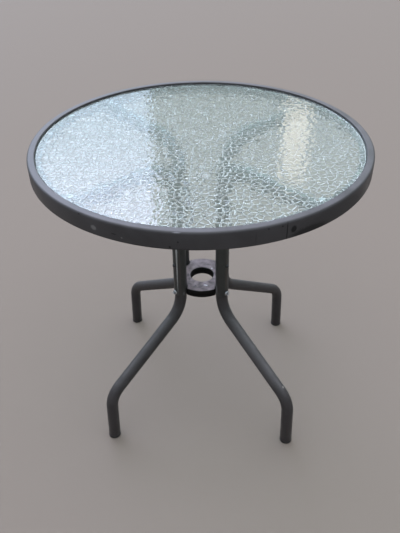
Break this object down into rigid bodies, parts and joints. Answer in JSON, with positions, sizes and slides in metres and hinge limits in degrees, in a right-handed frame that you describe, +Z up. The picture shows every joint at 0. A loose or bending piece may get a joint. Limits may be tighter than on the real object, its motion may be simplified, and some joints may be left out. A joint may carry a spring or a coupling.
{
  "type": "umbrella table",
  "caption": "Small round patio table: a rippled glass pane in a dark steel hoop, on bent tube legs joined at a pressed umbrella plate.",
  "frame": {"origin": "on the floor under the middle of the table, on the axis of the umbrella hole", "axes": "+Z up along the umbrella hole's axis; the four legs stand at 45 degrees to +X and +Y"},
  "size_m": [0.7, 0.7, 0.7],
  "materials": {
    "coated_steel": "satin powder coat, dark grey",
    "glass": "clear, rippled underneath",
    "black_plastic": "moulded, matt",
    "zinc_steel": "bright zinc",
    "dark_screw": "dark coated",
    "clear_pad": "clear soft vinyl"
  },
  "bodies": {
    "root": {"rim_hoop": "coated_steel", "glass_top": "glass", "glass_pad_1": "clear_pad", "glass_pad_2": "clear_pad", "glass_pad_3": "clear_pad", "glass_pad_4": "clear_pad", "glass_pad_5": "clear_pad", "glass_pad_6": "clear_pad", "glass_pad_7": "clear_pad", "glass_pad_8": "clear_pad", "umbrella_plate": "coated_steel", "upper_leg_front_left": "coated_steel", "lower_leg_front_left": "coated_steel", "foot_cap_front_left": "black_plastic", "plate_screw_front_left": "zinc_steel", "plate_nut_front_left": "zinc_steel", "joint_screw_front_left": "dark_screw", "arm_bracket_front_left": "coated_steel", "arm_bolt_front_left": "zinc_steel", "arm_nut_front_left": "zinc_steel", "upper_leg_front_right": "coated_steel", "lower_leg_front_right": "coated_steel", "foot_cap_front_right": "black_plastic", "plate_screw_front_right": "zinc_steel", "plate_nut_front_right": "zinc_steel", "joint_screw_front_right": "dark_screw", "arm_bracket_front_right": "coated_steel", "arm_bolt_front_right": "zinc_steel", "arm_nut_front_right": "zinc_steel", "upper_leg_back_right": "coated_steel", "lower_leg_back_right": "coated_steel", "foot_cap_back_right": "black_plastic", "plate_screw_back_right": "zinc_steel", "plate_nut_back_right": "zinc_steel", "joint_screw_back_right": "dark_screw", "arm_bracket_back_right": "coated_steel", "arm_bolt_back_right": "zinc_steel", "arm_nut_back_right": "zinc_steel", "upper_leg_back_left": "coated_steel", "lower_leg_back_left": "coated_steel", "foot_cap_back_left": "black_plastic", "plate_screw_back_left": "zinc_steel", "plate_nut_back_left": "zinc_steel", "joint_screw_back_left": "dark_screw", "arm_bracket_back_left": "coated_steel", "arm_bolt_back_left": "zinc_steel", "arm_nut_back_left": "zinc_steel"}
  },
  "joints": []
}
